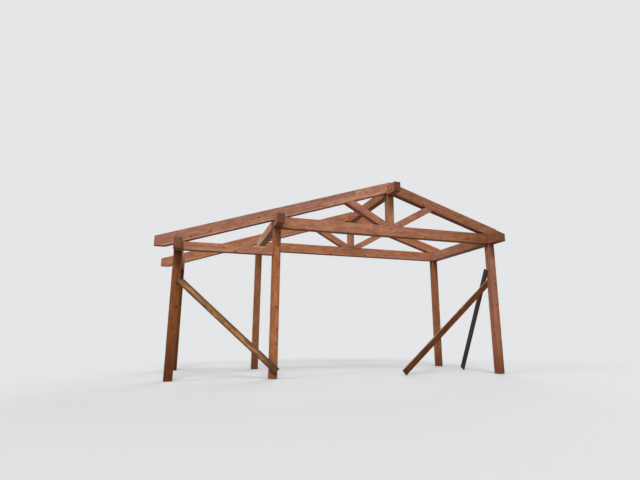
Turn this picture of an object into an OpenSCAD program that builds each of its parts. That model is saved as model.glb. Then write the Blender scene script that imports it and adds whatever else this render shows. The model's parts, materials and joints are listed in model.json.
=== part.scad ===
// Porch canopy: an open timber gable frame with a lower bay on its left side.
// The front looks towards -Y and the floor is Z = 0.

/* [Overall] */
// Width over the outer faces of the middle and right posts
truss_span = 6096; // [4800:1:7400]
// Distance between the left faces of the left and middle posts
side_bay = 2176; // [1600:1:2800]
// Depth over the outer faces of the front and back frames
frame_depth = 3048; // [2000:1:4200]
// Distance of the ridge line to the left of the middle of that width
ridge_shift = 19; // [0:1:60]
// Height of the right posts
post_h = 3405; // [2900:1:3900]
// Height of the rafters' seats above the right posts
seat_h = 242; // [200:1:300]
// Slope of the left side of the roof in degrees
roof_pitch = 18.15; // [14:0.05:22]

/* [Timbers] */
// Width of the square posts and thickness of everything in a frame
timber_w = 178; // [140:1:220]
// Depth of the left and middle plates
plate_deep = 230; // [180:1:320]
// Width of the right eave plate
right_plate_w = 226; // [178:1:320]
// Depth of the main tie beams and the right eave plate
tie_deep = 273; // [245:1:330]
// Depth of the ridge beam
ridge_deep = 240; // [200:1:320]
// Depth of the rafters, square to the slope
rafter_deep = 262; // [200:1:320]
// Depth of the front side tie
side_tie_deep = 184; // [120:1:240]
// Depth of the struts
strut_deep = 178; // [120:1:240]
// Slope of the struts in degrees
strut_pitch = 29.5; // [26:0.5:40]
// Drop of a strut's middle line below the top of the tie, at the king post
strut_drop = 34; // [0:1:60]

/* [Beam ends and tails] */
// Reach of the plates and the ridge beam in front of the front frame
beam_reach = 406; // [200:1:700]
// Drop from the peak of the rafters to the top of the ridge beam
ridge_drop = 128; // [60:1:180]
// Reach of the front left rafter's tail beyond the left post
tail_reach = 415; // [200:1:600]
// Reach of the back left rafter's tail beyond the left post
back_tail_reach = 450; // [200:1:600]
// Height of the upright face of these tails
tail_face = 204; // [120:1:250]
// Reach of the right rafters beyond the right eave plate
right_tail = 85; // [0:1:200]

/* [Rafter scarf] */
// Distance from the ridge line to the lower shoulder of the scarf
scarf_low = 1853; // [1600:1:2300]
// Distance from the ridge line to the upper shoulder of the scarf
scarf_high = 975; // [700:1:1300]

/* [Brace planks] */
// Width of the brace planks
plank_w = 148; // [90:1:190]
// Thickness of the brace planks
plank_t = 38; // [19:1:50]
// Height of the left brace on the centre line of the left post
left_brace_top = 2150; // [1700:1:2400]
// Height of the left brace on the centre line of the middle post
left_brace_foot = 228; // [150:1:500]
// Slope of the cut at the top of the left brace in degrees, up to the right
left_brace_cut = 16; // [0:1:40]
// Reach of the left brace beyond the middle post, on its upper edge
left_brace_lap = 40; // [0:1:90]
// Height of the right brace at the inner face of the right post
right_brace_top = 2322; // [1800:1:2600]
// Run of the right brace from that face to the floor
right_brace_run = 2632; // [2000:1:3000]
// Length of the right brace behind the right post
right_brace_lap = 76; // [50:1:110]
// Height of the rear prop at the back of the front right post
prop_top = 2656; // [2500:1:2800]
// Run of the rear prop from that post to the floor
prop_run = 1372; // [1000:1:1400]
// Length of the rear prop on the side of that post
prop_lap = 28; // [10:1:60]

/* [Hidden] */
slope = tan(roof_pitch);
middle_x = side_bay;
right_x = side_bay + truss_span - timber_w;
ridge_x = side_bay + truss_span / 2 - ridge_shift;
back_y = frame_depth - timber_w;
seat_x = middle_x + timber_w;
plate_top = post_h + seat_h;
tie_top = post_h + tie_deep;
left_plate_top = under_at(timber_w);
left_post_h = left_plate_top - plate_deep;
middle_post_h = plate_top - plate_deep;
rafter_v = rafter_deep / cos(roof_pitch);
right_slope = (under_at(ridge_x) - plate_top) / (right_x - ridge_x);
peak_z = top_at(ridge_x);
ridge_top = peak_z - ridge_drop;
ridge_left = ridge_x - timber_w / 2;
ridge_right = ridge_x + timber_w / 2;
right_end = right_x + right_plate_w;
right_tip = right_end + right_tail;
centre_x = (right_tip - max(tail_reach, back_tail_reach)) / 2;
centre_y = (frame_depth - beam_reach) / 2;

// Underside, top and mid-depth of the left rafter at a distance x
function under_at(x) = plate_top + (x - seat_x) * slope;
function top_at(x) = under_at(x) + rafter_v;
function mid_at(x) = under_at(x) + rafter_v / 2;

// Underside of the right rafter, and top of the right eave plate
function right_under_at(x) = plate_top + (right_x - x) * right_slope;
function right_plate_at(x) = tie_top + (right_x - x) * right_slope;

// Point on the rafter at x along its mid-depth, moved square to the slope
function square_to(x, d) = [
    x - d * sin(roof_pitch),
    mid_at(x) + d * cos(roof_pitch)
];

// Outline in the XZ plane, given thickness from y towards the back
module upright(y, t) {
    translate([-centre_x, y + t - centre_y, 0])
        rotate([90, 0, 0])
            linear_extrude(height = t)
                children();
}

module block(x, y, z, size) {
    translate([x - centre_x, y - centre_y, z])
        cube(size);
}

module post(x, y, h) {
    block(x, y, 0, [timber_w, timber_w, h]);
}

module plate(x, top) {
    block(
        x, -beam_reach, top - plate_deep,
        [timber_w, beam_reach + frame_depth, plate_deep]
    );
}

module right_plate() {
    upright(-beam_reach, beam_reach + frame_depth)
        polygon([
            [right_x, post_h],
            [right_end, post_h],
            [right_end, right_plate_at(right_end)],
            [right_x, tie_top]
        ]);
}

// Main tie, with its upper corners cut to the rafters
module tie_beam(y) {
    upright(y, timber_w)
        polygon([
            [seat_x, post_h],
            [seat_x, plate_top],
            [seat_x + (tie_top - plate_top) / slope, tie_top],
            [right_x - (tie_top - plate_top) / right_slope, tie_top],
            [right_x, plate_top],
            [right_x, post_h]
        ]);
}

module king_post(y) {
    block(
        ridge_left, y, tie_top,
        [timber_w, timber_w, ridge_top - ridge_deep - tie_top]
    );
}

// Strut on the side s = -1 (left) or 1 (right) of the king post
module strut(y, s) {
    half_v = strut_deep / 2 / cos(strut_pitch);
    rise = tan(strut_pitch);
    foot = timber_w / 2;
    fall = s < 0 ? slope : right_slope;
    root = tie_top - strut_drop;
    gap = under_at(ridge_x) - root + foot * rise;
    high = (gap - half_v) / (rise + fall);
    low = (gap + half_v) / (rise + fall);
    upright(y, timber_w)
        polygon([
            [ridge_x + s * foot, tie_top],
            [ridge_x + s * foot, root + half_v],
            [ridge_x + s * high, root + half_v + (high - foot) * rise],
            [ridge_x + s * low, root - half_v + (low - foot) * rise],
            [ridge_x + s * (foot + (strut_drop + half_v) / rise), tie_top]
        ]);
}

// Eave end of the left rafter, with the upper tongue of the scarf
module left_rafter_lower(y, reach) {
    tail_bottom = top_at(-reach) - tail_face;
    upright(y, timber_w)
        polygon([
            [-reach, tail_bottom],
            [-reach, top_at(-reach)],
            square_to(ridge_x - scarf_high, rafter_deep / 2),
            square_to(ridge_x - scarf_high, 0),
            square_to(ridge_x - scarf_low, 0),
            square_to(ridge_x - scarf_low, -rafter_deep / 2),
            [seat_x, plate_top],
            [middle_x, plate_top],
            [middle_x, under_at(middle_x)],
            [timber_w, left_plate_top],
            [0, left_plate_top],
            [0, under_at(0)],
            [seat_x + (tail_bottom - plate_top) / slope, tail_bottom]
        ]);
}

// Ridge end of the left rafter, with the lower tongue of the scarf
module left_rafter_upper(y) {
    upright(y, timber_w)
        polygon([
            square_to(ridge_x - scarf_high, rafter_deep / 2),
            [ridge_x, peak_z],
            [ridge_x, ridge_top],
            [ridge_left, ridge_top],
            [ridge_left, under_at(ridge_left)],
            square_to(ridge_x - scarf_low, -rafter_deep / 2),
            square_to(ridge_x - scarf_low, 0),
            square_to(ridge_x - scarf_high, 0)
        ]);
}

module right_rafter(y) {
    upright(y, timber_w)
        polygon([
            [ridge_x, ridge_top],
            [ridge_x, peak_z],
            [right_tip, right_under_at(right_tip) + rafter_v],
            [right_tip, right_under_at(right_tip)],
            [right_end, right_under_at(right_end)],
            [right_end, right_plate_at(right_end)],
            [right_x, tie_top],
            [right_x, plate_top],
            [ridge_right, right_under_at(ridge_right)],
            [ridge_right, ridge_top]
        ]);
}

// Plank on the front faces of the left and middle posts, cut from the middle of the left post
module left_brace() {
    fall = (left_brace_top - left_brace_foot) / side_bay;
    ang = atan(fall);
    half_v = plank_w / 2 / cos(ang);
    start_x = timber_w / 2;
    start_z = left_brace_top - half_v;
    cut_rise = tan(left_brace_cut);
    cut_run = 2 * half_v / (cut_rise + fall);
    tip_x = seat_x + left_brace_lap;
    end_x = tip_x - plank_w * sin(ang);
    end_z = start_z - (end_x - start_x) * fall;
    upright(-plank_t, plank_t)
        polygon([
            [start_x, start_z],
            [start_x + cut_run, start_z + cut_run * cut_rise],
            [tip_x, end_z + plank_w * cos(ang)],
            [end_x, end_z]
        ]);
}

// Plank from the back of the front right post down to the floor
module right_brace() {
    ang = atan(right_brace_top / right_brace_run);
    half = plank_w / 2;
    foot_x = right_x - right_brace_run;
    low = half * cos(ang) / sin(ang);
    high = (right_brace_run + right_brace_lap) / cos(ang);
    translate([foot_x - centre_x, timber_w + plank_t - centre_y, 0])
        rotate([90, 0, 0])
            linear_extrude(height = plank_t)
                rotate(ang)
                    translate([low, -half])
                        square([high - low, plank_w]);
}

// Plank from the inner side of that post down towards the back
module rear_prop() {
    ang = atan(prop_top / prop_run);
    half = plank_w / 2;
    low = half * cos(ang) / sin(ang);
    high = (prop_run + prop_lap) / cos(ang);
    translate([right_x - plank_t - centre_x, timber_w + prop_run - centre_y, 0])
        rotate([90, 0, 90])
            linear_extrude(height = plank_t)
                rotate(180 - ang)
                    translate([low, -half])
                        square([high - low, plank_w]);
}

module front_left_post() { color("#8a5238") post(0, 0, left_post_h); }
module front_middle_post() { color("#a8683f") post(middle_x, 0, middle_post_h); }
module front_right_post() { color("#9a6040") post(right_x, 0, post_h); }
module back_left_post() { color("#7c4a32") post(0, back_y, left_post_h); }
module back_middle_post() { color("#8a5a3c") post(middle_x, back_y, middle_post_h); }
module back_right_post() { color("#8a5a3c") post(right_x, back_y, post_h); }

module left_eave_plate() { color("#7a4630") plate(0, left_plate_top); }
module middle_plate() { color("#7a4630") plate(middle_x, plate_top); }
module right_eave_plate() { color("#6e4430") right_plate(); }

module ridge_beam() {
    color("#74452e")
        block(
            ridge_left, -beam_reach, ridge_top - ridge_deep,
            [timber_w, beam_reach + frame_depth, ridge_deep]
        );
}

module front_tie_beam() { color("#98603c") tie_beam(0); }
module back_tie_beam() { color("#825236") tie_beam(back_y); }

module front_side_tie() {
    color("#8e5638")
        block(
            timber_w, 0, left_plate_top - side_tie_deep,
            [middle_x - timber_w, timber_w, side_tie_deep]
        );
}

module front_king_post() { color("#8e5a3a") king_post(0); }
module back_king_post() { color("#80523a") king_post(back_y); }

module front_left_strut() { color("#8a5636") strut(0, -1); }
module front_right_strut() { color("#8a5636") strut(0, 1); }
module back_left_strut() { color("#7c4e34") strut(back_y, -1); }
module back_right_strut() { color("#7c4e34") strut(back_y, 1); }

module front_left_rafter_lower() { color("#a0643e") left_rafter_lower(0, tail_reach); }
module front_left_rafter_upper() { color("#966040") left_rafter_upper(0); }
module front_right_rafter() { color("#9a623e") right_rafter(0); }
module back_left_rafter_lower() { color("#845438") left_rafter_lower(back_y, back_tail_reach); }
module back_left_rafter_upper() { color("#7e5036") left_rafter_upper(back_y); }
module back_right_rafter() { color("#805236") right_rafter(back_y); }

module left_brace_plank() { color("#b07c48") left_brace(); }
module right_brace_plank() { color("#8a4e2c") right_brace(); }
module rear_prop_plank() { color("#4a443c") rear_prop(); }

front_left_post();
front_middle_post();
front_right_post();
back_left_post();
back_middle_post();
back_right_post();
left_eave_plate();
middle_plate();
right_eave_plate();
ridge_beam();
front_tie_beam();
back_tie_beam();
front_side_tie();
front_king_post();
back_king_post();
front_left_strut();
front_right_strut();
back_left_strut();
back_right_strut();
front_left_rafter_lower();
front_left_rafter_upper();
front_right_rafter();
back_left_rafter_lower();
back_left_rafter_upper();
back_right_rafter();
left_brace_plank();
right_brace_plank();
rear_prop_plank();
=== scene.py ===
import json
import math
import random
import bmesh
import bpy
from mathutils import Matrix, Vector, noise


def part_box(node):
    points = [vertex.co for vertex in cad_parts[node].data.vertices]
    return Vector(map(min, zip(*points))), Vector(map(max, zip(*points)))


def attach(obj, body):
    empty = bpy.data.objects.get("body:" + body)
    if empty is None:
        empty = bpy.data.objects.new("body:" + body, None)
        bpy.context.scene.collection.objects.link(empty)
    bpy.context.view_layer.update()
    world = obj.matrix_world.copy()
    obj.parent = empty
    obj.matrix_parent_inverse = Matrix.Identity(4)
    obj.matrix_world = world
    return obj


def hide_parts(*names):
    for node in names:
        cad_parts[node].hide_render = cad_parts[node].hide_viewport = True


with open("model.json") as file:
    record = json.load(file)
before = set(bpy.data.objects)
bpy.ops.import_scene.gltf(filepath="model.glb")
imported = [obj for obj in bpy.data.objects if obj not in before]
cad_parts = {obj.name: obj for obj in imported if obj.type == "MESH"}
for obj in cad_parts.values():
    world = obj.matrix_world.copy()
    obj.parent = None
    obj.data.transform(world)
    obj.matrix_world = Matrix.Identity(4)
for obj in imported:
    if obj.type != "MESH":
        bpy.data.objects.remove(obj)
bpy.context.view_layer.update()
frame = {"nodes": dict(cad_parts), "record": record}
nodes = frame["nodes"]
scene = bpy.context.scene
print("frame loaded:", len(nodes), "timbers")


# Camera: where the photographer stood, from the front corner of the left post's foot
cameraSettings = {
    "stand": (0.479, -9.566, 0.930),  # metres to the right, to the back and up
    "yaw": -16.46,  # degrees, turned to the right
    "pitch": 12.68,  # degrees, tipped up
    "roll": 0.341,
    "lens": 23.91,  # mm
    "sensor": 36,
    "farthest": 400,
}


def makeCamera(s):
    camData = bpy.data.cameras.new("porchCamera")
    camData.lens = s["lens"]
    camData.sensor_width = s["sensor"]
    camData.clip_end = s["farthest"]
    cam = bpy.data.objects.new("porchCamera", camData)
    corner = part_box("front_left_post")[0]
    turn = Matrix.Rotation(math.radians(s["yaw"]), 4, "Z")
    tip = Matrix.Rotation(math.radians(90 + s["pitch"]), 4, "X")
    roll = Matrix.Rotation(math.radians(s["roll"]), 4, "Z")
    cam.matrix_world = Matrix.Translation(corner + Vector(s["stand"])) @ turn @ tip @ roll
    scene.collection.objects.link(cam)
    scene.camera = cam


makeCamera(cameraSettings)
print("camera set")


# Small helpers for node trees
def addNode(tree, kind, **values):
    node = tree.nodes.new(kind)
    for key, value in values.items():
        if key in node.inputs:
            node.inputs[key].default_value = value
        else:
            setattr(node, key, value)
    return node


def doMath(tree, operation, a, b=None, c=None):
    node = addNode(tree, "ShaderNodeMath", operation=operation)
    for socket, value in zip(node.inputs, (a, b, c)):
        if isinstance(value, (int, float)):
            socket.default_value = value
        elif value is not None:
            tree.links.new(value, socket)
    return node.outputs[0]


def doVector(tree, operation, a, b=None):
    node = addNode(tree, "ShaderNodeVectorMath", operation=operation)
    for socket, value in zip(node.inputs, (a, b)):
        if isinstance(value, (tuple, Vector)):
            socket.default_value = value
        elif value is not None:
            tree.links.new(value, socket)
    givesNumber = operation in ("LENGTH", "DISTANCE", "DOT_PRODUCT")
    return node.outputs["Value" if givesNumber else "Vector"]


def splitParts(tree, value, kind="XYZ"):
    node = addNode(tree, "ShaderNodeSeparate" + kind)
    tree.links.new(value, node.inputs[0])
    return list(node.outputs)


def smoothRange(tree, value, low, high, outLow=0.0, outHigh=1.0):
    node = addNode(tree, "ShaderNodeMapRange", interpolation_type="SMOOTHSTEP")
    tree.links.new(value, node.inputs["Value"])
    for key, number in (("From Min", low), ("From Max", high), ("To Min", outLow), ("To Max", outHigh)):
        node.inputs[key].default_value = number
    return node.outputs["Result"]


def mixColour(tree, factor, a, b):
    node = addNode(tree, "ShaderNodeMix", data_type="RGBA")
    for socket, value in ((node.inputs[0], factor), (node.inputs[6], a), (node.inputs[7], b)):
        if isinstance(value, (int, float)):
            socket.default_value = value
        elif isinstance(value, tuple):
            socket.default_value = (*value, 1.0)
        else:
            tree.links.new(value, socket)
    return node.outputs[2]


def scaleVector(tree, vector, scale, offset=(0, 0, 0)):
    node = tree.nodes.new("ShaderNodeMapping")
    tree.links.new(vector, node.inputs["Vector"])
    node.inputs["Scale"].default_value = scale
    node.inputs["Location"].default_value = offset
    return node.outputs["Vector"]


def makeNoise(tree, vector, scale=1.0, detail=3.0, roughness=0.55):
    node = addNode(tree, "ShaderNodeTexNoise", Scale=scale, Detail=detail, Roughness=roughness)
    tree.links.new(vector, node.inputs["Vector"])
    return node.outputs["Fac"]


def newGroup(name, inputs, outputs):
    tree = bpy.data.node_groups.new(name, "ShaderNodeTree")
    for label, kind, value in inputs:
        socket = tree.interface.new_socket(name=label, in_out="INPUT", socket_type=kind)
        if value is not None:
            socket.default_value = value
    for label, kind in outputs:
        tree.interface.new_socket(name=label, in_out="OUTPUT", socket_type=kind)
    start = tree.nodes.new("NodeGroupInput")
    end = tree.nodes.new("NodeGroupOutput")
    return tree, start, end


def placeGroup(tree, group, **values):
    node = addNode(tree, "ShaderNodeGroup", node_tree=group)
    for label, value in values.items():
        socket = node.inputs[label.replace("_", " ")]
        if isinstance(value, (int, float)):
            socket.default_value = value
        else:
            tree.links.new(value, socket)
    return node


knotOutputs = [(label, "NodeSocketFloat") for label in ("Knot", "Halo", "Core")]


def showKnots(tree, end, reach, reaches, chosen=1.0):
    for label, (full, gone) in reaches.items():
        mask = smoothRange(tree, reach, full, gone, 1.0, 0.0)
        tree.links.new(doMath(tree, "MULTIPLY", mask, chosen), end.inputs[label])


# Random knots: branches that run out from the pith, found by length and direction round it
knotSettings = {
    "turn": 45,  # degrees, which puts the seam behind the pith on a corner of the timber
    "perRadian": 0.1,  # metres that one radian round the pith counts for
    "stretch": 0.72,  # under 1 a knot is longer along the grain
    "outline": (70.0, 90.0, 90.0),
    "ragged": 0.012,
    "radius": (0.005, 0.014),
    "reaches": {"Knot": (0.75, 1.1), "Halo": (0.9, 3.0), "Core": (0.4, 0.75)},  # in radii
}


def makeKnotGroup(s):
    tree, start, end = newGroup(
        "knotField",
        [
            ("Position", "NodeSocketVector", None),
            ("Spacing", "NodeSocketFloat", 0.3),
            ("Share", "NodeSocketFloat", 0.3),
        ],
        knotOutputs,
    )
    position = start.outputs["Position"]
    turned = addNode(tree, "ShaderNodeVectorRotate", rotation_type="X_AXIS", Angle=math.radians(s["turn"]))
    tree.links.new(position, turned.inputs["Vector"])
    x, y, z = splitParts(tree, turned.outputs[0])
    around = doMath(tree, "MULTIPLY", doMath(tree, "ARCTAN2", z, y), s["perRadian"])
    uneven = makeNoise(tree, scaleVector(tree, position, s["outline"]), 1.0, 1.0)
    ragged = doMath(tree, "MULTIPLY", uneven, s["ragged"])
    place = addNode(tree, "ShaderNodeCombineXYZ")
    tree.links.new(doMath(tree, "MULTIPLY_ADD", x, s["stretch"], ragged), place.inputs["X"])
    tree.links.new(doMath(tree, "ADD", around, ragged), place.inputs["Y"])
    cells = addNode(tree, "ShaderNodeTexVoronoi", voronoi_dimensions="2D", feature="F1")
    tree.links.new(place.outputs[0], cells.inputs["Vector"])
    tree.links.new(doMath(tree, "DIVIDE", 1.0, start.outputs["Spacing"]), cells.inputs["Scale"])
    distance = doMath(tree, "MULTIPLY", cells.outputs["Distance"], start.outputs["Spacing"])
    pickShare, pickSize, _ = splitParts(tree, cells.outputs["Color"], "Color")
    chosen = doMath(tree, "LESS_THAN", pickShare, start.outputs["Share"])
    radius = smoothRange(tree, pickSize, 0.0, 1.0, *s["radius"])
    showKnots(tree, end, doMath(tree, "DIVIDE", distance, radius), s["reaches"], chosen)
    return tree


# Knots that stand out in the photograph: metres right, back and up from the front left post's foot, radius
placedKnots = [
    (0.338, 0, 3.059, 0.017),
    (0.737, 0, 3.191, 0.019),
    (1.820, 0, 3.609, 0.019),
    (1.540, 0, 3.657, 0.010),
    (2.554, 0, 3.833, 0.014),
    (4.358, 0, 4.459, 0.012),
    (1.063, 0, 2.846, 0.012),
    (1.396, 0, 2.821, 0.012),
    (2.706, 0, 3.573, 0.010),
    (4.558, 0, 3.519, 0.013),
    (6.624, 0, 3.476, 0.016),
    (7.432, 0, 3.520, 0.018),
    (5.119, 0, 4.280, 0.016),
    (5.110, 0.02, 4.204, 0.014),
    (7.092, 0, 4.116, 0.015),
    (7.768, 0, 3.807, 0.018),
    (7.780, 0, 3.906, 0.014),
    (5.837, 0, 4.034, 0.010),
    (2.297, 0, 1.551, 0.020),
    (8.203, 0, 1.755, 0.020),
    (0.142, 0, 1.503, 0.022),
    (1.543, 2.87, 3.627, 0.018),
    (1.274, -0.038, 1.046, 0.012),
]
placedSettings = {
    "outline": 70.0,
    "swell": (0.3, 0.7, 0.8, 1.25),  # the outline's noise, and how much it shrinks or swells the knot
    "farOff": 9.0,  # in radii
    "reaches": {"Knot": (0.75, 1.15), "Halo": (0.9, 2.6), "Core": (0.4, 0.75)},
}


def makePlacedKnotGroup(s):
    tree, start, end = newGroup("placedKnots", [("Position", "NodeSocketVector", None)], knotOutputs)
    position = start.outputs["Position"]
    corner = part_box("front_left_post")[0]
    swell = smoothRange(tree, makeNoise(tree, position, s["outline"], 1.0), *s["swell"])
    nearest = s["farOff"]
    for right, back, up, radius in placedKnots:
        away = doVector(tree, "DISTANCE", position, corner + Vector((right, back, up)))
        nearest = doMath(tree, "MINIMUM", doMath(tree, "DIVIDE", away, radius), nearest)
    showKnots(tree, end, doMath(tree, "MULTIPLY", nearest, swell), s["reaches"])
    return tree


# Growth rings round a wandering pith: long waves on the faces, circles on the sawn ends
ringSettings = {
    "wanderGrain": (0.9, 3.0, 3.0),
    "wander": 0.055,  # metres that the pith strays
    "rise": (0.35, 0.92),  # share of a ring's width over which it darkens
    "fall": (0.94, 1.0),
    "broad": 0.034,  # width of the broad rings
}


def makeRingGroup(s):
    tree, start, end = newGroup(
        "growthRings",
        [
            ("Position", "NodeSocketVector", None),
            ("Bulge", "NodeSocketFloat", 0.0),
            ("Ring width", "NodeSocketFloat", 0.006),
        ],
        [("Latewood", "NodeSocketFloat"), ("Broad", "NodeSocketFloat")],
    )
    position = start.outputs["Position"]
    wander = addNode(tree, "ShaderNodeTexNoise", Scale=1.0, Detail=2.0, Roughness=0.5)
    tree.links.new(scaleVector(tree, position, s["wanderGrain"]), wander.inputs["Vector"])
    centred = doVector(tree, "SUBTRACT", wander.outputs["Color"], (0.5, 0.5, 0.5))
    shift = doVector(tree, "MULTIPLY", centred, (0.0, s["wander"], s["wander"]))
    across = doVector(tree, "MULTIPLY", doVector(tree, "ADD", position, shift), (0.0, 1.0, 1.0))
    radius = doMath(tree, "ADD", doVector(tree, "LENGTH", across), start.outputs["Bulge"])
    within = doMath(tree, "FRACT", doMath(tree, "DIVIDE", radius, start.outputs["Ring width"]))
    rise = smoothRange(tree, within, *s["rise"])
    fall = smoothRange(tree, within, *s["fall"], 1.0, 0.0)
    tree.links.new(doMath(tree, "MULTIPLY", rise, fall), end.inputs["Latewood"])
    broadTurns = doMath(tree, "DIVIDE", radius, s["broad"])
    wave = doMath(tree, "SINE", doMath(tree, "MULTIPLY", broadTurns, math.tau))
    tree.links.new(smoothRange(tree, wave, -1.0, 1.0), end.inputs["Broad"])
    return tree


# Fibre along the grain, in layers of noise: its scale along and across the grain, where along the grain it
# starts, detail, roughness and the range that shows
fibreLayers = {
    "Fine": ((9.0, 260.0), 0.0, 4.0, 0.65, None),
    "Dark streak": ((2.6, 34.0), 3.1, 3.0, 0.6, (0.48, 0.66)),
    "Light streak": ((1.6, 26.0), 13.7, 3.0, 0.6, (0.5, 0.66)),
    "Band": ((0.4, 9.0), 5.3, 2.0, 0.5, (0.4, 0.6)),
    "Patch": ((0.9, 3.0), 7.7, 2.0, 0.5, None),
    "Dash": ((7.0, 40.0), 21.3, 2.0, 0.5, (0.52, 0.68)),
    "Mottle": ((4.5, 13.0), 17.1, 3.0, 0.6, None),
}
speckSettings = {"grain": (22.0, 60.0, 60.0), "reach": (0.1, 0.42), "share": 0.16}


def makeFibreGroup(layers, s):
    tree, start, end = newGroup(
        "woodFibre",
        [("Position", "NodeSocketVector", None), ("Warmth", "NodeSocketFloat", 0.0)],
        [(label, "NodeSocketFloat") for label in (*layers, "Speck")],
    )
    position = start.outputs["Position"]
    for label, ((along, across), begin, detail, roughness, shown) in layers.items():
        stretched = scaleVector(tree, position, (along, across, across), (begin, 0, 0))
        value = makeNoise(tree, stretched, 1.0, detail, roughness)
        if label == "Band":
            value = doMath(tree, "ADD", value, start.outputs["Warmth"])
        if shown:
            value = smoothRange(tree, value, *shown)
        tree.links.new(value, end.inputs[label])
    cells = addNode(tree, "ShaderNodeTexVoronoi", feature="F1", Scale=1.0)
    tree.links.new(scaleVector(tree, position, s["grain"]), cells.inputs["Vector"])
    chosen = doMath(tree, "LESS_THAN", splitParts(tree, cells.outputs["Color"], "Color")[0], s["share"])
    speck = smoothRange(tree, cells.outputs["Distance"], *s["reach"], 1.0, 0.0)
    tree.links.new(doMath(tree, "MULTIPLY", speck, chosen), end.inputs["Speck"])
    return tree


# Shallow ridges that a band saw leaves across the grain
sawSettings = {
    "pitch": 0.012,
    "lean": 0.09,  # metres that a ridge strays along the grain
    "leanGrain": (1.4, 5.0, 5.0),
    "patchGrain": (2.2, 9.0, 9.0),  # ridges come in patches
    "patchBegin": (1, 2, 3),
    "patch": (0.42, 0.6),
    "perMetre": 45.0,  # how often deep and shallow ridges change
    "strength": (0.35, 0.7),
}


def makeSawGroup(s):
    tree, start, end = newGroup(
        "sawMarks",
        [("Position", "NodeSocketVector", None), ("Pitch", "NodeSocketFloat", s["pitch"])],
        [("Height", "NodeSocketFloat")],
    )
    position = start.outputs["Position"]
    lean = makeNoise(tree, scaleVector(tree, position, s["leanGrain"]), 1.0, 2.0)
    stray = doMath(tree, "MULTIPLY", lean, s["lean"])
    along = doMath(tree, "ADD", splitParts(tree, position)[0], stray)
    turns = doMath(tree, "DIVIDE", along, start.outputs["Pitch"])
    wave = doMath(tree, "SINE", doMath(tree, "MULTIPLY", turns, math.tau))
    patch = makeNoise(tree, scaleVector(tree, position, s["patchGrain"], s["patchBegin"]))
    share = smoothRange(tree, patch, *s["patch"])
    change = addNode(tree, "ShaderNodeTexNoise", noise_dimensions="1D", Scale=s["perMetre"], Detail=1.0)
    tree.links.new(along, change.inputs["W"])
    strength = smoothRange(tree, change.outputs["Fac"], *s["strength"])
    ridges = doMath(tree, "MULTIPLY", wave, strength)
    tree.links.new(doMath(tree, "MULTIPLY", ridges, share), end.inputs["Height"])
    return tree


knotGroup = makeKnotGroup(knotSettings)
placedKnotGroup = makePlacedKnotGroup(placedSettings)
ringGroup = makeRingGroup(ringSettings)
fibreGroup = makeFibreGroup(fibreLayers, speckSettings)
sawGroup = makeSawGroup(sawSettings)

# What all the woods share: ranges of the noises and distances, and heights in metres
surfaceSettings = {
    "bulge": 0.012,  # how far the rings bend round a knot
    "fine": (0.42, 0.7),
    "stain": (0.45, 0.7),
    "heartPatch": (0.24, 0.44),
    "edge": (0.35, 1.35),  # in edge widths
    "ragged": 2.0,
    "rimSheen": (0.3, 1.0),  # in widths of the painted highlight along the upper edge
    "soakRagged": 0.3,
    "endFacing": (0.6, 0.9),
    "nearFloorRagged": 0.5,
    "blotch": (0.25, 0.75),
    "deeper": (0.4, 1.0, 1.18, 1.0),  # dark timbers have more colour
    "paler": (1.0, 1.35, 1.0, 0.76),  # and light ones less
    "roughFine": (0.3, 0.7),
    "roughSpread": 0.08,
    "fineHeight": 0.0006,
    "ringHeight": 0.0003,
    "knotHeight": 0.0012,
    "bump": 0.8,
    "specular": 0.25,
}


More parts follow.
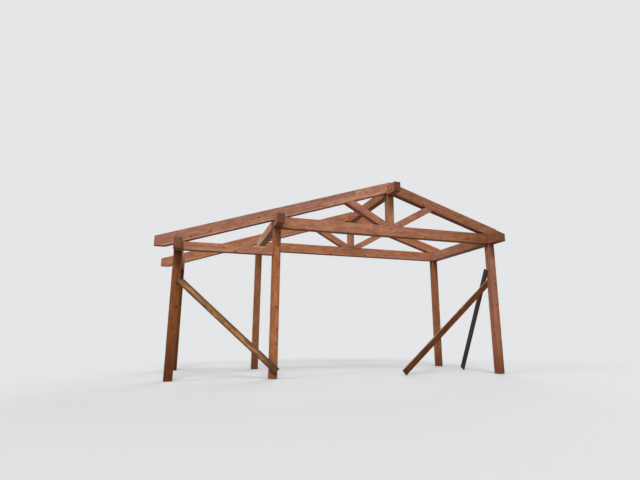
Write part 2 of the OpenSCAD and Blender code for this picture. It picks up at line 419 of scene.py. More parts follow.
def makeWood(name, s):
    mat = bpy.data.materials.new(name)
    mat.use_nodes = True
    tree = mat.node_tree
    shader = tree.nodes["Principled BSDF"]
    every = surfaceSettings

    def read(attribute, output="Fac"):
        return addNode(tree, "ShaderNodeAttribute", attribute_name=attribute).outputs[output]

    position = read("grainPlace", "Vector")
    tone = read("timberTone")
    inObject = addNode(tree, "ShaderNodeTexCoord").outputs["Object"]
    often = {"Spacing": s["knotSpacing"], "Share": s["knotShare"]}
    knots = placeGroup(tree, knotGroup, Position=position, **often).outputs
    placed = placeGroup(tree, placedKnotGroup, Position=inObject).outputs
    knot, halo, core = [doMath(tree, "MAXIMUM", knots[key], placed[key]) for key in ("Knot", "Halo", "Core")]
    bulge = doMath(tree, "MULTIPLY", halo, every["bulge"])
    rings = placeGroup(tree, ringGroup, Position=position, Bulge=bulge, Ring_width=s["ringWidth"]).outputs
    fibre = placeGroup(tree, fibreGroup, Position=position, Warmth=read("timberWarmth")).outputs
    saw = placeGroup(tree, sawGroup, Position=position).outputs["Height"]

    # Masks: the pale heart of a plank, edges darkened by wear (on the pale plank also painted shade), soaked
    # ends, a painted highlight along the upper edge, and darker towards the floor
    uneven = doMath(tree, "SUBTRACT", fibre["Mottle"], 0.5)
    fromEdge = doMath(tree, "MULTIPLY_ADD", uneven, every["ragged"] * s["edgeWidth"], read("edgeAway"))
    heart = smoothRange(tree, fromEdge, *s["heartReach"])
    heartHere = smoothRange(tree, fibre["Patch"], *every["heartPatch"])
    # Darker along the long edges: wear, and on the pale plank also painted shade
    edge = smoothRange(tree, fromEdge, *[share * s["edgeWidth"] for share in every["edge"]], 1.0, 0.0)
    fromEnd = doMath(tree, "MULTIPLY_ADD", uneven, every["soakRagged"], read("endAway"))
    soaked = smoothRange(tree, fromEnd, 0.0, s["soakReach"], 1.0, 0.0)
    # A painted highlight along the upper edge
    rimSheen = smoothRange(tree, read("upperAway"), *[share * s["rimSheenWidth"] for share in every["rimSheen"]], 1.0, 0.0)
    # Darker towards the floor
    nearFloorUneven = doMath(tree, "MULTIPLY", fibre["Patch"], every["nearFloorRagged"])
    high = doMath(tree, "SUBTRACT", splitParts(tree, inObject)[2], nearFloorUneven)
    nearFloor = smoothRange(tree, high, *s["nearFloorReach"], 1.0, 0.0)

    def blend(colour, mask, share, key):
        return mixColour(tree, doMath(tree, "MULTIPLY", mask, s[share]), colour, s[key])

    colour = mixColour(tree, fibre["Band"], s["rose"], s["gold"])
    layers = (
        (rings["Broad"], "broadShare", "red"),
        (fibre["Light streak"], "lightShare", "light"),
        (fibre["Dark streak"], "darkShare", "dark"),
        (rings["Latewood"], "ringShare", "dark"),
        (smoothRange(tree, fibre["Fine"], *every["fine"]), "fineShare", "dark"),
        (smoothRange(tree, fibre["Patch"], *every["stain"]), "stainShare", "stain"),
        (fibre["Dash"], "dashShare", "red"),
        (fibre["Speck"], "speckShare", "knot"),
        (doMath(tree, "MULTIPLY", heart, heartHere), "heartShare", "light"),
        (edge, "edgeShare", "dark"),
        (soaked, "soakShare", "stain"),
        (rimSheen, "rimSheenShare", "rimSheen"),
        (halo, "haloDepth", "dark"),
        (knot, "knotDepth", "knot"),
        (core, "coreDepth", "core"),
    )
    for mask, share, key in layers:
        colour = blend(colour, mask, share, key)

    # Sawn ends drink more stain and look darker
    normal = addNode(tree, "ShaderNodeNewGeometry").outputs["Normal"]
    facing = doMath(tree, "ABSOLUTE", doVector(tree, "DOT_PRODUCT", normal, read("grainAxis", "Vector")))
    endGrain = smoothRange(tree, facing, *every["endFacing"])
    endRings = mixColour(tree, rings["Latewood"], s["endGrain"], s["endRing"])
    colour = mixColour(tree, doMath(tree, "MULTIPLY", endGrain, read("endDark")), colour, endRings)
    colour = blend(colour, nearFloor, "nearFloorShare", "dark")

    toned = addNode(tree, "ShaderNodeHueSaturation")
    blotch = smoothRange(tree, fibre["Mottle"], *every["blotch"], 1.0 - s["mottle"], 1.0 + s["mottle"])
    tree.links.new(doMath(tree, "MULTIPLY", tone, blotch), toned.inputs["Value"])
    deeper = smoothRange(tree, tone, *every["deeper"])
    paler = smoothRange(tree, tone, *every["paler"])
    ownDepth = doMath(tree, "MULTIPLY", read("timberDepth"), paler)
    tree.links.new(doMath(tree, "MULTIPLY", deeper, ownDepth), toned.inputs["Saturation"])
    tree.links.new(colour, toned.inputs["Color"])
    tree.links.new(toned.outputs["Color"], shader.inputs["Base Color"])

    rough = (s["rough"] - every["roughSpread"], s["rough"] + every["roughSpread"])
    tree.links.new(smoothRange(tree, fibre["Fine"], *every["roughFine"], *rough), shader.inputs["Roughness"])

    height = doMath(tree, "MULTIPLY", fibre["Fine"], every["fineHeight"])
    height = doMath(tree, "MULTIPLY_ADD", saw, s["sawHeight"], height)
    height = doMath(tree, "MULTIPLY_ADD", rings["Latewood"], every["ringHeight"], height)
    height = doMath(tree, "MULTIPLY_ADD", knot, every["knotHeight"], height)
    bump = addNode(tree, "ShaderNodeBump", Strength=every["bump"], Distance=1.0)
    tree.links.new(height, bump.inputs["Height"])
    tree.links.new(bump.outputs["Normal"], shader.inputs["Normal"])
    shader.inputs["Specular IOR Level"].default_value = every["specular"]
    return mat


frameWood = {
    "rose": (0.385, 0.165, 0.105),
    "gold": (0.435, 0.168, 0.068),
    "red": (0.33, 0.115, 0.06),
    "light": (0.52, 0.25, 0.125),
    "dark": (0.17, 0.052, 0.024),
    "stain": (0.27, 0.10, 0.05),
    "knot": (0.06, 0.018, 0.01),
    "core": (0.15, 0.05, 0.026),
    "rimSheen": (0.52, 0.25, 0.125),
    "endGrain": (0.165, 0.058, 0.03),
    "endRing": (0.10, 0.032, 0.016),
    "broadShare": 0.3,
    "lightShare": 0.5,
    "darkShare": 0.42,
    "ringShare": 0.22,
    "fineShare": 0.25,
    "stainShare": 0.4,
    "speckShare": 0.45,
    "dashShare": 0.6,
    "mottle": 0.2,  # how much lighter and darker the faces go in blotches
    "edgeWidth": 0.014,
    "edgeShare": 0.28,
    "rimSheenWidth": 0.012,  # a painted highlight along the upper edge
    "rimSheenShare": 0.0,
    "soakReach": 0.16,
    "soakShare": 0.3,
    "heartReach": (0.03, 0.07),  # a pale streak along the middle of a plank
    "heartShare": 0.0,
    "nearFloorShare": 0.75,
    "nearFloorReach": (-0.25, 0.65),
    "haloDepth": 0.5,
    "knotDepth": 0.92,
    "coreDepth": 0.5,
    "knotSpacing": 0.2,
    "knotShare": 0.5,  # of the places where a knot could be
    "ringWidth": 0.0055,
    "rough": 0.78,
    "sawHeight": 0.0003,
}
paleWood = dict(
    frameWood,
    rose=(0.165, 0.076, 0.031),
    gold=(0.215, 0.1, 0.037),
    red=(0.175, 0.064, 0.023),
    light=(0.47, 0.225, 0.082),
    dark=(0.068, 0.032, 0.012),
    stain=(0.11, 0.063, 0.032),
    endGrain=(0.08, 0.04, 0.02),
    endRing=(0.05, 0.022, 0.012),
    heartReach=(0.036, 0.064),
    heartShare=0.9,
    # its dark edges are partly painted shade
    edgeWidth=0.02,
    edgeShare=0.55,
    soakReach=0.3,
    soakShare=0.75,
    nearFloorShare=0.85,
    nearFloorReach=(0.02, 0.24),
    mottle=0.3,
)
redWood = dict(
    frameWood,
    rose=(0.105, 0.033, 0.009),
    gold=(0.145, 0.048, 0.011),
    red=(0.12, 0.029, 0.007),
    light=(0.21, 0.082, 0.024),
    dark=(0.048, 0.014, 0.005),
    stain=(0.06, 0.023, 0.008),
    # a painted highlight along the upper edge
    rimSheen=(0.36, 0.22, 0.15),
    rimSheenShare=0.8,
    nearFloorShare=0.45,
    mottle=0.34,
)
greyWood = dict(
    frameWood,
    rose=(0.046, 0.034, 0.024),
    gold=(0.055, 0.04, 0.026),
    red=(0.058, 0.034, 0.018),
    light=(0.085, 0.072, 0.058),
    dark=(0.024, 0.017, 0.011),
    stain=(0.04, 0.036, 0.03),
    knot=(0.014, 0.009, 0.006),
    core=(0.03, 0.02, 0.014),
    endGrain=(0.05, 0.038, 0.027),
    endRing=(0.03, 0.022, 0.016),
    rough=0.88,
)
woodOfSlot = {
    "frame_timber": makeWood("frameTimber", frameWood),
    "pale_plank": makeWood("palePlank", paleWood),
    "red_plank": makeWood("redPlank", redWood),
    "weathered_plank": makeWood("weatheredPlank", greyWood),
}
print("wood materials made")


# Timbers: the edges of the stock are eased, joint cuts stay crisp, then it is sliced along the grain and
# roughened like sawn stock
timberSettings = {
    "plankThick": 0.06,  # thinner stock is a plank
    "seam": 0.002,  # how far a cut face stands back from the one that it meets
    "sharp": 0.3,  # radians between two faces from which their edge is eased
    "ease": 0.006,  # rounding of the edges
    "plankEase": 0.002,
    "station": 0.12,  # spacing of slices along the length
    "lane": 0.05,  # and across it
    "ripple": 0.0012,  # unevenness of the sawn faces
    "rippleGrain": (2.3, 14.0),  # waves along and across the grain
    "ding": 0.004,  # deepest knock on an edge
    "dingGrain": (4.1, 5.0),
    "dingFrom": 0.15,  # higher, fewer knocks
    "worn": 0.2,  # radians between two faces from which their edge is knocked
    "deepest": 0.3,  # share of the thickness
    "pith": 0.03,  # how far the pith can lie from the middle
    "plankPith": (0.11, 0.02),  # a plank is sawn beside it
    "chanceTone": (0.9, 1.02),  # of timbers that timberLook leaves out
    "chanceGold": 0.06,
    "shift": 40,  # metres of grain to choose from
    "smoothUnder": 20,  # degrees
}
checkSettings = {
    "perMetre": 0.55,  # metres of check on one metre of a face
    "chance": (0.6, 1.4),
    "each": 1.6,  # metres that one check counts for
    "narrowest": 0.08,  # narrower faces have none
    "lanes": (-0.24, -0.02, 0.2),  # shares of the face's width
    "offLane": 0.05,
    "length": (0.35, 1.5),
    "longest": 0.6,  # share of the timber's length
    "fromEnd": 0.04,
    "depth": (0.012, 0.03),
    "deepest": 0.22,  # share of the thickness
    "width": (0.0003, 0.0008),
    "steps": 11,
    "drift": 0.012,
    "weave": 0.0022,
    "weaves": 9,
    "jitter": 0.0006,
    "fullness": 0.7,  # lower, wider towards both tips
    "above": 0.004,  # how far the wedge stands out of the face that it cuts
    "tipAbove": 0.001,
}
# Looks that differ from timber to timber: how light it is (on some timbers partly painted shade), how golden
# rather than rosy, how deep its colour and how dark its ends are, then how lightness changes per metre to
# the right, to the back and up (partly painted shade), gold to the right and up, lightness towards the first
# and the last end (soaked stain and painted shade where timbers meet), and a painted highlight along the
# lower edges of the sides with painted shade on the underside
plainLook = {
    "tone": 1.0,
    "gold": 0.0,
    "depth": 1.0,
    "ends": 0.9,
    "toneSlope": (0, 0, 0),
    "goldSlope": (0, 0),
    "toneEnds": (0, 0),
    "hemLightShade": 0.0,
}
timberLook = {
    "front_left_post": dict(tone=0.53, gold=0.1, toneSlope=(0, 0, 0.045), goldSlope=(1.2, 0)),
    # Darker towards the top: painted shade under the plate
    "front_middle_post": dict(
        tone=0.98, gold=0.2, depth=1.055, toneSlope=(0, 0, -0.05), goldSlope=(-1.0, -0.06)
    ),
    # Darker to the right and towards its foot; the darkening to the right is painted shade where the light
    # falls off
    "front_right_post": dict(tone=0.88, toneSlope=(-0.4, 0, 0.055), goldSlope=(1.0, 0)),
    # Its low tone is painted shade
    "back_left_post": dict(tone=0.42, gold=0.3),
    "back_middle_post": dict(tone=0.84, gold=0.05),
    "back_right_post": dict(tone=0.86, gold=0.05),
    "left_eave_plate": dict(tone=0.95, gold=0.12, ends=0.75),
    "middle_plate": dict(
        tone=1.14, gold=0.2, depth=0.92, ends=0.85, toneSlope=(0, 0.12, 0), toneEnds=(-0.16, 0)
    ),
    # Darker than the left plate: painted shade where the light falls off to the right
    "right_eave_plate": dict(tone=0.89, gold=0.08, depth=0.9, ends=0.5, toneSlope=(0, 0.14, 0)),
    "ridge_beam": dict(tone=0.88, gold=-0.03, ends=1.0),
    # Darker to the right, painted shade where the light falls off, and darker at both ends, soaked stain and
    # painted shade where it meets other timbers
    "front_tie_beam": dict(
        tone=1.01,
        gold=0.03,
        depth=0.98,
        toneSlope=(-0.065, 0, 0),
        goldSlope=(0, -0.8),
        toneEnds=(-0.24, -0.2),
    ),
    "front_side_tie": dict(tone=1.18, gold=0.03, depth=1.12, goldSlope=(0, 0.8), hemLightShade=0.2),
    "back_tie_beam": dict(tone=0.99, gold=0.08, hemLightShade=0.1),
    "front_king_post": dict(tone=1.05, gold=-0.03, depth=0.97),
    "back_king_post": dict(tone=1.1, gold=0.1),
    "front_left_strut": dict(tone=1.02, gold=-0.1),
    "front_right_strut": dict(tone=1.04, gold=-0.08),
    "back_right_strut": dict(tone=1.12, gold=0.3),
    "front_left_rafter_lower": dict(tone=0.975, gold=-0.02, depth=0.95, goldSlope=(0, -1.6), hemLightShade=0.4),
    "front_left_rafter_upper": dict(tone=1.26, depth=1.12, goldSlope=(0, -0.5), hemLightShade=-0.06),
    # Darker than the left rafters: painted shade where the light falls off to the right
    "front_right_rafter": dict(tone=0.77, gold=0.06, depth=0.95, goldSlope=(0, 0.6)),
    "back_left_rafter_lower": dict(tone=1.06, gold=0.02),
    "left_brace_plank": dict(ends=0.5),
    "right_brace_plank": dict(tone=0.93, depth=1.06),
}


def cleanSolid(node):
    bm = bmesh.new()
    bm.from_mesh(node.data)
    bmesh.ops.remove_doubles(bm, verts=bm.verts, dist=1e-5)
    bmesh.ops.dissolve_limit(bm, angle_limit=math.radians(1), verts=bm.verts[:], edges=bm.edges[:])
    bm.normal_update()
    bm.verts.index_update()
    bm.faces.index_update()
    return bm


# The stock that a timber is sawn from: its long axis and the tightest section round it
def findStock(bm):
    longest = max(bm.edges, key=lambda edge: edge.calc_length())
    along = (longest.verts[1].co - longest.verts[0].co).normalized()
    if max(along, key=abs) < 0:
        along = -along
    best = None
    for face in bm.faces:
        if abs(face.normal.dot(along)) > 0.01:
            continue
        across = (face.normal - along * face.normal.dot(along)).normalized()
        third = along.cross(across)
        spans = []
        for direction in (along, across, third):
            places = [v.co.dot(direction) for v in bm.verts]
            spans.append((min(places), max(places)))
        area = (spans[1][1] - spans[1][0]) * (spans[2][1] - spans[2][0])
        if best is None or area < best[0] - 1e-6:
            best = (area, across, third, spans)
    _, across, third, spans = best
    axes = Matrix((along, across, third)).transposed()
    middle = axes @ Vector([(low + high) / 2 for low, high in spans])
    size = Vector([high - low for low, high in spans])
    place = axes.to_4x4()
    place.translation = middle
    return place, size


def isOnStock(face, place, size):
    local = place.inverted()
    normal = (local.to_3x3() @ face.normal).normalized()
    centre = local @ face.calc_center_median()
    for axis in range(3):
        if abs(normal[axis]) > 0.999 and abs(abs(centre[axis]) - size[axis] / 2) < 1e-4:
            return axis
    return None


# Cut faces stand back a little, so that joints read as dark seams
def openJoints(bm, place, size, s):
    planes = {}
    for face in bm.faces:
        reach = face.normal.dot(face.verts[0].co)
        onFloor = face.calc_center_median().z < 0.001
        if isOnStock(face, place, size) not in (1, 2) and not onFloor:
            reach -= s["seam"]
        planes[face.index] = (face.normal.copy(), reach)
    corners = []
    for vert in bm.verts:
        normals, reaches = zip(*[planes[face.index] for face in vert.link_faces][:3])
        corners.append(Matrix(normals).inverted() @ Vector(reaches))
    for vert, corner in zip(bm.verts, corners):
        vert.co = corner


def sliceSolid(bm, place, size, s):
    for axis, step in ((0, s["station"]), (1, s["lane"]), (2, s["lane"])):
        count = max(1, round(size[axis] / step))
        along = place.col[axis].to_3d()
        for i in range(1, count):
            point = place.translation + along * size[axis] * (i / count - 0.5)
            parts = bm.verts[:] + bm.edges[:] + bm.faces[:]
            bmesh.ops.bisect_plane(bm, geom=parts, plane_co=point, plane_no=along, dist=1e-5)


# Sawn faces wave a little, and edges are worn and knocked more than faces
def roughenSolid(bm, place, size, s, rng):
    local = place.inverted()
    seed = rng.uniform(0, 90)
    waveAlong, waveAcross = s["rippleGrain"]
    knockAlong, knockAcross = s["dingGrain"]
    bm.normal_update()
    moves = []
    for vert in bm.verts:
        p = local @ vert.co
        wave = noise.noise(Vector((p.x * waveAlong + seed, p.y * waveAcross, p.z * waveAcross)))
        depth = s["ripple"] * (0.5 + 0.5 * wave)
        if any(edge.calc_face_angle(0) > s["worn"] for edge in vert.link_edges):
            knock = noise.noise(Vector((p.x * knockAlong, p.y * knockAcross + seed, p.z * knockAcross)))
            depth += s["ding"] * max(0.0, knock - s["dingFrom"])
        moves.append((vert, vert.normal * -min(depth, s["deepest"] * min(size))))
    for vert, move in moves:
        vert.co += move


def isPlank(size, s):
    return min(size.y, size.z) < s["plankThick"]


def shapeTimber(node, s, rng):
    bm = cleanSolid(node)
    place, size = findStock(bm)
    sawn = {face for face in bm.faces if isOnStock(face, place, size) is not None}
    if all(len(vert.link_faces) == 3 for vert in bm.verts):
        openJoints(bm, place, size, s)
    sharp = [edge for edge in bm.edges if edge.calc_face_angle_signed(0) > s["sharp"]]
    edges = [edge for edge in sharp if sawn.issuperset(edge.link_faces)]
    ease = s["plankEase"] if isPlank(size, s) else s["ease"]
    bmesh.ops.bevel(
        bm, geom=edges, offset=ease, segments=2, profile=0.5, affect="EDGES", clamp_overlap=True
    )
    sliceSolid(bm, place, size, s)
    roughenSolid(bm, place, size, s, rng)
    mesh = bpy.data.meshes.new(node.name + ".timber")
    bm.to_mesh(mesh)
    bm.free()
    return mesh, place, size


# One drying check: a wedge that opens and closes along the grain. side is (1 or -1, 0) on a face across the
# stock's second axis, and (0, 1 or -1) on one across its third
def addCheck(verts, faces, x0, length, side, offset, size, depth, width, s, rng):
    count = s["steps"]
    above = s["above"]
    half = size.y / 2 if side[0] else size.z / 2
    first = len(verts)
    drift = rng.uniform(-s["drift"], s["drift"])
    phase = rng.uniform(0, 6.28)

    def place(x, across, out):
        if side[0]:
            return Vector((x, side[0] * (half + out), across))
        return Vector((x, across, side[1] * (half + out)))

    for i in range(count):
        t = (i + 1) / (count + 1)
        gape = math.sin(math.pi * t) ** s["fullness"]
        x = x0 + length * t
        weave = s["weave"] * math.sin(phase + s["weaves"] * t)
        across = offset + drift * (t - 0.5) + weave + rng.uniform(-s["jitter"], s["jitter"])
        w = width * gape * (1 + above / depth)
        rims = [place(x, across - w, above), place(x, across + w, above)]
        verts.extend([*rims, place(x, across, -depth * gape)])
    for i in range(count - 1):
        a = first + 3 * i
        b = a + 3
        faces.extend([(a, b, b + 1, a + 1), (a + 1, b + 1, b + 2, a + 2), (a + 2, b + 2, b, a)])
    tipA = len(verts)
    tipB = tipA + 1
    verts.append(place(x0, offset - drift / 2, s["tipAbove"]))
    verts.append(place(x0 + length, offset + drift / 2, s["tipAbove"]))
    last = first + 3 * (count - 1)
    faces.extend([(tipA, first, first + 1), (tipA, first + 1, first + 2), (tipA, first + 2, first)])
    faces.extend([(tipB, last + 1, last), (tipB, last + 2, last + 1), (tipB, last, last + 2)])


def makeChecks(size, s, rng):
    verts, faces = [], []
    for side in ((1, 0), (-1, 0), (0, 1), (0, -1)):
        acrossSpan = size.z if side[0] else size.y
        thick = size.y if side[0] else size.z
        if acrossSpan < s["narrowest"]:
            continue
        wanted = s["perMetre"] * size.x * rng.uniform(*s["chance"])
        lanes = list(s["lanes"])
        rng.shuffle(lanes)
        for lane in lanes[: min(len(lanes), round(wanted / s["each"]))]:
            length = min(rng.uniform(*s["length"]), s["longest"] * size.x)
            x0 = rng.uniform(-size.x / 2 + s["fromEnd"], size.x / 2 - length - s["fromEnd"])
            depth = min(rng.uniform(*s["depth"]), s["deepest"] * thick)
            width = rng.uniform(*s["width"])
            offset = (lane + rng.uniform(-s["offLane"], s["offLane"])) * acrossSpan
            addCheck(verts, faces, x0, length, side, offset, size, depth, width, s, rng)
    if not verts:
        return None
    mesh = bpy.data.meshes.new("checks")
    mesh.from_pydata(verts, [], faces)
    bm = bmesh.new()
    bm.from_mesh(mesh)
    bmesh.ops.recalc_face_normals(bm, faces=bm.faces)
    bm.to_mesh(mesh)
    bm.free()
    return mesh


def cutAway(obj, mesh):
    tool = bpy.data.objects.new("tool", mesh)
    scene.collection.objects.link(tool)
    modifier = obj.modifiers.new("cut", "BOOLEAN")
    modifier.operation = "DIFFERENCE"
    modifier.solver = "MANIFOLD"
    modifier.object = tool
    bpy.context.view_layer.update()
    result = bpy.data.meshes.new_from_object(obj.evaluated_get(bpy.context.evaluated_depsgraph_get()))
    obj.modifiers.clear()
    old = obj.data
    obj.data = result
    bpy.data.meshes.remove(old)
    bpy.data.objects.remove(tool)
    bpy.data.meshes.remove(mesh)


# Each corner keeps its place in the stock, its way to the nearest long edge and its timber's look
grainSettings = {
    "endReach": 1.2,  # metres from an end over which toneEnds fades
    "hemLightShadeReach": 0.05,  # and from the lower edge over which the painted lower-edge highlight and underside shade fade
    "edgeMargin": 0.01,  # what is further in from both sides lies underneath
    "toneRange": (0.3, 1.4),
}


def setGrain(mesh, place, size, pith, shift, look):
    s = grainSettings
    local = place.inverted()
    axis = place.col[0].to_3d()
    climb = axis.z / axis.x if abs(axis.x) > 0.5 else 0.0
    toneSlope = Vector(look["toneSlope"])
    goldRight, goldUp = look["goldSlope"]
    firstEnd, lastEnd = look["toneEnds"]
    lowest, highest = s["toneRange"]
    upper = max((1, 2), key=lambda i: abs(place.col[i].z))
    upwards = 1 if place.col[upper].z > 0 else -1
    sideways = 3 - upper
    grainPlaces, edges, uppers, ends, tones, warmths = [], [], [], [], [], []
    for vert in mesh.vertices:
        p = local @ vert.co
        away = vert.co - place.translation
        fromEnd = size.x / 2 - abs(p.x)
        fromTop = size[upper] / 2 - upwards * p[upper]
        grainPlaces.extend((p.x + shift, p.y + pith[0], p.z + pith[1]))
        edges.append(max(size.y / 2 - abs(p.y), size.z / 2 - abs(p.z)))
        uppers.append(fromTop)
        ends.append(fromEnd)
        # Darker towards the ends: soaked stain, and painted shade where timbers meet
        towardsEnd = max(0.0, 1.0 - fromEnd / s["endReach"]) * (firstEnd if p.x < 0 else lastEnd)
        # A painted highlight on the sides along the lower edge, and painted shade on the underside
        hemLightShade = look["hemLightShade"] * max(0.0, 1.0 - (size[upper] - fromTop) / s["hemLightShadeReach"])
        underneath = abs(p[sideways]) < size[sideways] / 2 - s["edgeMargin"]
        tone = look["tone"] + toneSlope.dot(away) + towardsEnd + (-hemLightShade if underneath else hemLightShade)
        tones.append(min(max(tone, lowest), highest))
        warmths.append(look["gold"] + goldRight * away.x + goldUp * (away.z - away.x * climb))
    count = len(mesh.vertices)
    vectors = {"grainPlace": grainPlaces, "grainAxis": list(axis) * count}
    numbers = {
        "edgeAway": edges,
        "upperAway": uppers,
        "endAway": ends,
        "timberTone": tones,
        "timberWarmth": warmths,
        "timberDepth": [look["depth"]] * count,
        "endDark": [look["ends"]] * count,
    }
    for kind, field, table in (("FLOAT_VECTOR", "vector", vectors), ("FLOAT", "value", numbers)):
        for name, values in table.items():
            mesh.attributes.new(name, kind, "POINT")
            mesh.attributes[name].data.foreach_set(field, values)


def makeTimber(node, slotName, s):
    name = node.name
    rng = random.Random(name)
    mesh, place, size = shapeTimber(node, s, rng)
    piece = bpy.data.objects.new(name + ".timber", mesh)
    scene.collection.objects.link(piece)
    checks = makeChecks(size, checkSettings, rng)
    if checks:
        checks.transform(place)
        cutAway(piece, checks)
    if isPlank(size, s):
        side, spread = s["plankPith"]
        pith = (side, rng.uniform(-spread, spread))
    else:
        pith = (rng.uniform(-s["pith"], s["pith"]), rng.uniform(-s["pith"], s["pith"]))
    gold = s["chanceGold"]
    chance = {"tone": rng.uniform(*s["chanceTone"]), "gold": rng.uniform(-gold, gold)}
    look = {**plainLook, **timberLook.get(name, chance)}
    setGrain(piece.data, place, size, pith, rng.uniform(-s["shift"], s["shift"]), look)
    piece.data.materials.clear()
    piece.data.materials.append(woodOfSlot[slotName])
    piece.data.shade_smooth()
    piece.data.set_sharp_from_angle(angle=math.radians(s["smoothUnder"]))
    # Without this, the slivers beside the checks would shade the faces
    weighted = piece.modifiers.new("weighted", "WEIGHTED_NORMAL")
    weighted.weight = 100
    weighted.keep_sharp = True
    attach(piece, "root")
    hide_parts(name)


slotOfNode = {part["node"]: part["material_slot"] for part in frame["record"]["subparts"]}
for nodeName in sorted(nodes):
    makeTimber(nodes[nodeName], slotOfNode[nodeName], timberSettings)
print("timbers made")


# Pegs through the feet of the king posts, and screws that hold the planks
fixingSettings = {
    "pegFaces": {"front": (-1.321, -1.143), "back": (1.549, 1.727)},  # front and rear face of each frame
    "pegDown": 0.076,  # below the top of the tie beam
    "pegStock": (0.02, 0.025, 0.025),
    "pegPith": (0.002, 0.001),
    "pegGrain": 3.0,  # so that no two pegs are cut from the same grain
    "pegLook": {"tone": 0.55, "gold": 0.1, "ends": 1.0},
    "pegSides": 8,
    "peg": ((0.0125, -0.004), (0.0125, 0.004), (0.0102, 0.0066), (0.0, 0.0070)),  # radius and height
    "screwSides": 12,
    "smoothUnder": 30,  # degrees
    "screw": (
        (0.0078, -0.003),
        (0.0078, 0.0012),
        (0.0050, 0.0026),
        (0.0044, 0.0040),
        (0.0030, 0.0040),
        (0.0026, 0.0022),
        (0.0, 0.0022),
    ),
    "steel": (0.13, 0.127, 0.12),
    "rust": (0.09, 0.045, 0.022),
    "rustGrain": (260.0, 4.0, 0.7),
    "rustRange": (0.48, 0.66),
    "rough": (0.42, 0.85),  # of steel and of rust
    "metal": (0.9, 0.1),
    "pitting": (0.5, 0.0003),
}
plankScrews = {  # the way out of the plank, then each screw's place on its face
    "left_brace_screws": (
        (0, -1, 0),
        ((-3.822, -1.359, 2.050), (-3.815, -1.359, 2.005), (-1.689, -1.359, 0.255), (-1.736, -1.359, 0.202)),
    ),
    "right_brace_screws": ((0, 1, 0), ((4.132, -1.105, 2.382), (4.178, -1.105, 2.330))),
    "rear_prop_screws": ((-1, 0, 0), ((4.0785, -1.185, 2.655), (4.0785, -1.165, 2.590))),
}


def turnedSolid(profile, sides, spots, out):
    bm = bmesh.new()
    stand = Vector(out).to_track_quat("Z", "Y").to_matrix()
    for spot in spots:
        rings = []
        for radius, height in profile:
            count = sides if radius else 1
            angles = [math.tau * i / sides for i in range(count)]
            ring = [Vector((radius * math.cos(a), radius * math.sin(a), height)) for a in angles]
            rings.append([bm.verts.new(Vector(spot) + stand @ point) for point in ring])
        for low, high in zip(rings, rings[1:]):
            for i in range(sides):
                j = (i + 1) % sides
                corners = (low[i], low[j], high[j], high[i]) if len(high) > 1 else (low[i], low[j], high[0])
                bm.faces.new(corners)
        bm.faces.new(rings[0][::-1])
    return bm


def finishPiece(name, bm, mat):
    mesh = bpy.data.meshes.new(name)
    bm.to_mesh(mesh)
    bm.free()
    piece = bpy.data.objects.new(name, mesh)
    scene.collection.objects.link(piece)
    mesh.materials.append(mat)
    mesh.shade_smooth()
    mesh.set_sharp_from_angle(angle=math.radians(fixingSettings["smoothUnder"]))
    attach(piece, "root")
    return piece


def makePegs(s):
    for frameSide, faces in s["pegFaces"].items():
        low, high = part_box(frameSide + "_king_post")
        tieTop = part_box(frameSide + "_tie_beam")[1].z
        for side, y, out in (("Near", faces[0], -1), ("Far", faces[1], 1)):
            spot = Vector(((low.x + high.x) / 2, y, tieTop - s["pegDown"]))
            solid = turnedSolid(s["peg"], s["pegSides"], [spot], (0, out, 0))
            peg = finishPiece(frameSide + "Peg" + side, solid, woodOfSlot["frame_timber"])
            place = Matrix(((0, 1, 0), (1, 0, 0), (0, 0, 1))).to_4x4()
            place.translation = spot
            look = {**plainLook, **s["pegLook"]}
            setGrain(peg.data, place, Vector(s["pegStock"]), s["pegPith"], s["pegGrain"] * y, look)


def makeSteel(s):
    mat = bpy.data.materials.new("screwSteel")
    mat.use_nodes = True
    tree = mat.node_tree
    shader = tree.nodes["Principled BSDF"]
    position = addNode(tree, "ShaderNodeTexCoord").outputs["Object"]
    spots = makeNoise(tree, position, *s["rustGrain"])
    rusty = smoothRange(tree, spots, *s["rustRange"])
    tree.links.new(mixColour(tree, rusty, s["steel"], s["rust"]), shader.inputs["Base Color"])
    tree.links.new(smoothRange(tree, rusty, 0.0, 1.0, *s["rough"]), shader.inputs["Roughness"])
    tree.links.new(smoothRange(tree, rusty, 0.0, 1.0, *s["metal"]), shader.inputs["Metallic"])
    strength, depth = s["pitting"]
    bump = addNode(tree, "ShaderNodeBump", Strength=strength, Distance=depth)
    tree.links.new(spots, bump.inputs["Height"])
    tree.links.new(bump.outputs["Normal"], shader.inputs["Normal"])
    return mat


makePegs(fixingSettings)
steel = makeSteel(fixingSettings)
for screwsName, (out, spots) in plankScrews.items():
    screws = turnedSolid(fixingSettings["screw"], fixingSettings["screwSides"], spots, out)
    finishPiece(screwsName, screws, steel)
print("pegs and screws made")


# Floor, backdrop and light
stageSettings = {
    "floorColour": (0.44, 0.445, 0.45),
    "floorBounce": (0.10, 0.097, 0.094),  # what the floor gives back to the timbers
    "floorRough": 0.9,
    "backdrop": (0.78, 0.79, 0.80),
    "fade": (6.0, 30.0),  # metres from the middle over which the floor turns into the backdrop
    "skyHigh": 0.9,
    "skyLow": 0.25,
    "radius": 90.0,
}


# 1 where the camera sees the floor or backdrop, straight or in a reflection
def findSeenRays(tree):
    path = addNode(tree, "ShaderNodeLightPath")
    return doMath(tree, "MAXIMUM", path.outputs["Is Camera Ray"], path.outputs["Is Glossy Ray"])


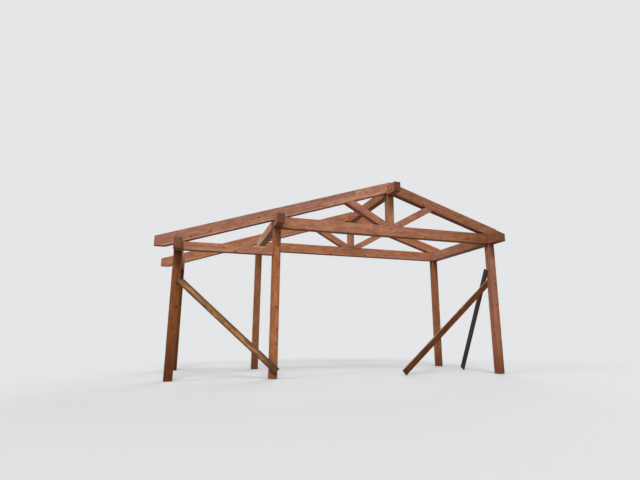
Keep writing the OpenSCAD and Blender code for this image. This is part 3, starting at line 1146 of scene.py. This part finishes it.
def makeFloor(s):
    mesh = bpy.data.meshes.new("floor")
    r = s["radius"]
    mesh.from_pydata([(-r, -r, 0), (r, -r, 0), (r, r, 0), (-r, r, 0)], [], [(0, 1, 2, 3)])
    floor = bpy.data.objects.new("floor", mesh)
    scene.collection.objects.link(floor)
    mat = bpy.data.materials.new("floorPaint")
    mat.use_nodes = True
    tree = mat.node_tree
    shader = tree.nodes["Principled BSDF"]
    seen = findSeenRays(tree)
    colour = mixColour(tree, seen, s["floorBounce"], s["floorColour"])
    tree.links.new(colour, shader.inputs["Base Color"])
    shader.inputs["Roughness"].default_value = s["floorRough"]
    shader.inputs["Specular IOR Level"].default_value = 0.0
    place = addNode(tree, "ShaderNodeNewGeometry").outputs["Position"]
    far = smoothRange(tree, doVector(tree, "LENGTH", place), *s["fade"])
    glow = addNode(tree, "ShaderNodeEmission", Color=(*s["backdrop"], 1), Strength=1.0)
    mix = addNode(tree, "ShaderNodeMixShader")
    tree.links.new(doMath(tree, "MULTIPLY", far, seen), mix.inputs[0])
    tree.links.new(shader.outputs[0], mix.inputs[1])
    tree.links.new(glow.outputs[0], mix.inputs[2])
    tree.links.new(mix.outputs[0], tree.nodes["Material Output"].inputs["Surface"])
    mesh.materials.append(mat)


def makeWorld(s):
    world = bpy.data.worlds.new("studio")
    scene.world = world
    world.use_nodes = True
    tree = world.node_tree
    tree.nodes.clear()
    seen = findSeenRays(tree)
    up = splitParts(tree, addNode(tree, "ShaderNodeTexCoord").outputs["Generated"])[2]
    light = addNode(tree, "ShaderNodeBackground", Color=(1, 1, 1, 1))
    strength = smoothRange(tree, up, 0.0, 1.0, s["skyLow"], s["skyHigh"])
    tree.links.new(strength, light.inputs["Strength"])
    shown = addNode(tree, "ShaderNodeBackground", Color=(*s["backdrop"], 1), Strength=1.0)
    mix = addNode(tree, "ShaderNodeMixShader")
    out = addNode(tree, "ShaderNodeOutputWorld")
    tree.links.new(seen, mix.inputs[0])
    tree.links.new(light.outputs[0], mix.inputs[1])
    tree.links.new(shown.outputs[0], mix.inputs[2])
    tree.links.new(mix.outputs[0], out.inputs["Surface"])


lampSettings = {  # where the light comes from, its strength and its softness in degrees
    "frontHigh": ((-0.10, -0.66, 0.74), 2.36, 24),
    "leftSoft": ((-0.85, -0.20, 0.49), 1.6, 34),
    "backSoft": ((0.45, 0.75, 0.48), 1.8, 34),
}


def makeLamp(name, source, strength, softness):
    data = bpy.data.lights.new(name, "SUN")
    data.energy = strength
    data.angle = math.radians(softness)
    lamp = bpy.data.objects.new(name, data)
    lamp.location = Vector(source) * 20
    lamp.rotation_mode = "QUATERNION"
    lamp.rotation_quaternion = (-Vector(source)).to_track_quat("-Z", "Y")
    scene.collection.objects.link(lamp)


makeFloor(stageSettings)
makeWorld(stageSettings)
for lampName, lampRow in lampSettings.items():
    makeLamp(lampName, *lampRow)
scene.view_settings.view_transform = "Standard"
print("stage and light set")
